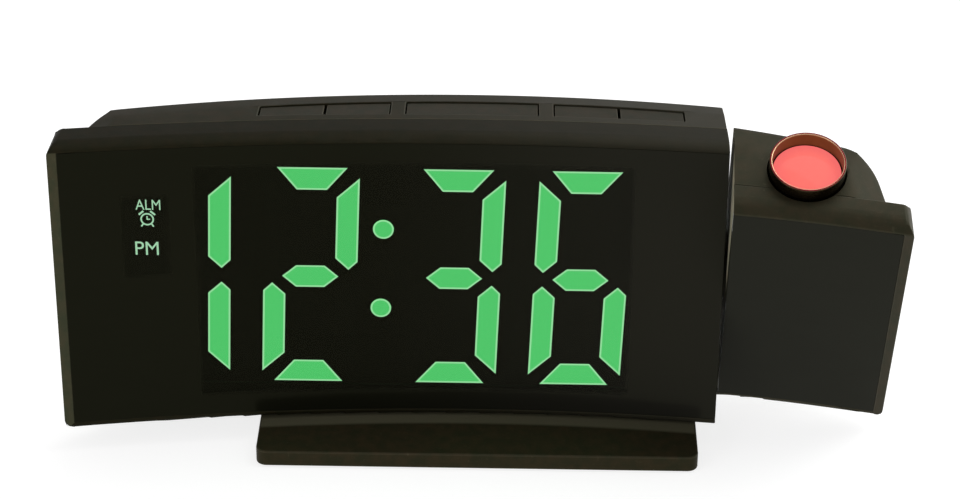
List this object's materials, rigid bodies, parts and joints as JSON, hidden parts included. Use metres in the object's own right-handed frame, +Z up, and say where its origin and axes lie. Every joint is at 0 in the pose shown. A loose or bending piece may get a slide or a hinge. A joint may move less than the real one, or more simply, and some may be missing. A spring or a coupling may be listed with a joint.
{
  "type": "projection alarm clock",
  "caption": "Wide curved alarm clock with large green digits on a low stand, snooze and setting buttons on top, and a tilting projector with a focus ring at one end.",
  "frame": {"origin": "centre of the foot pad's underside, on the desk", "axes": "+X to the user's right along the display, +Y to the back, +Z up"},
  "size_m": [0.1979, 0.0603, 0.0828],
  "materials": {
    "housing": "fine satin texture, dark warm grey",
    "stand": "satin, near black",
    "window": "smoked, polished",
    "panel": "polished, near black",
    "buttons": "satin",
    "digit_block": "matte black",
    "lit_green": "lit diffuser",
    "unlit": "unlit diffuser",
    "legend": "printed film",
    "board": "solder mask",
    "chip": "moulded",
    "plunger": "moulded",
    "connector": "moulded",
    "bush": "natural acetal",
    "pivot": "moulded",
    "screws": "zinc plated",
    "contacts": "plated spring",
    "cell": "bright",
    "lead": "insulated",
    "foot": "matte",
    "optics": "moulded",
    "lamp": "clear moulding",
    "lenses": "clear, polished",
    "slide": "flat cell",
    "focus": "polished, dark brown"
  },
  "bodies": {
    "clock": {"front_frame": "housing", "display_window": "window", "rear_housing": "housing", "housing_screws": "screws", "digit_block": "digit_block", "lit_segments": "lit_green", "dark_segments": "unlit", "colon_dots": "lit_green", "legend_windows": "legend", "display_board": "board", "display_board_screws": "screws", "control_chip": "chip", "sounder": "chip", "lead_connector": "connector", "button_board": "board", "button_board_screws": "screws", "switch_bodies": "chip", "pivot_bush": "bush", "pivot_lead": "lead", "power_inlet": "chip", "power_inlet_pin": "screws", "coin_cell": "cell", "cell_spring": "contacts", "cell_side_contact": "contacts", "stand_base": "stand", "stand_plate": "stand", "stand_screws": "screws", "foot_pad": "foot"},
    "time_key": {"time_button": "buttons", "time_plunger": "plunger"},
    "alarm_key": {"alarm_button": "buttons", "alarm_plunger": "plunger"},
    "snooze_key": {"snooze_button": "buttons", "snooze_plunger": "plunger"},
    "down_key": {"down_button": "buttons", "down_plunger": "plunger"},
    "up_key": {"up_button": "buttons", "up_plunger": "plunger"},
    "battery_cover": {"battery_door": "housing", "battery_door_screw": "screws"},
    "projector": {"projector_front_frame": "housing", "projector_panel": "panel", "projector_rear_housing": "housing", "projector_screws": "screws", "pivot_shaft": "pivot", "pivot_retainer": "pivot", "friction_washer": "screws", "retaining_clip": "screws", "optics_tube": "optics", "lamp_board": "board", "lamp_connector": "connector", "projection_lamp": "lamp", "condenser_lens": "lenses", "image_slide": "slide", "projector_lead": "lead"},
    "focus": {"focus_ring": "focus"},
    "lens_carrier": {"lens_cell": "optics", "projection_lens": "lenses"}
  },
  "joints": [
    {"name": "time_press", "type": "slide", "parent": "clock", "child": "time_key", "axis": [0, 0, -1], "range_m": [0, 0.0007], "stiffness_N_per_m": 1500, "springref_m": -0.0002},
    {"name": "alarm_press", "type": "slide", "parent": "clock", "child": "alarm_key", "axis": [0, 0, -1], "range_m": [0, 0.0007], "stiffness_N_per_m": 1500, "springref_m": -0.0002},
    {"name": "snooze_press", "type": "slide", "parent": "clock", "child": "snooze_key", "axis": [0, 0, -1], "range_m": [0, 0.0007], "stiffness_N_per_m": 1500, "springref_m": -0.0002},
    {"name": "down_press", "type": "slide", "parent": "clock", "child": "down_key", "axis": [0, 0, -1], "range_m": [0, 0.0007], "stiffness_N_per_m": 1500, "springref_m": -0.0002},
    {"name": "up_press", "type": "slide", "parent": "clock", "child": "up_key", "axis": [0, 0, -1], "range_m": [0, 0.0007], "stiffness_N_per_m": 1500, "springref_m": -0.0002},
    {"name": "battery_cover_removal", "type": "slide", "parent": "clock", "child": "battery_cover", "axis": [-0.1933, 0.9811, 0], "range_m": [0, 0.015]},
    {"name": "projector_tilt", "type": "hinge", "parent": "clock", "child": "projector", "pos_m": [0.05805, 0.00198, 0.0434], "axis": [0.9986, -0.0523, 0], "range_deg": [-116, 64]},
    {"name": "focus_turn", "type": "hinge", "parent": "projector", "child": "focus", "pos_m": [0.07543, 0.00107, 0.0434], "axis": [-0.0229, -0.4378, 0.8988], "range_deg": [-120, 120]},
    {"name": "lens_travel", "type": "slide", "parent": "projector", "child": "lens_carrier", "axis": [-0.0229, -0.4378, 0.8988], "range_m": [-0.001, 0.001]}
  ],
  "couplings": [
    {"joint": "lens_travel", "follows": "focus_turn", "m_per_rad": 0.000475}
  ]
}
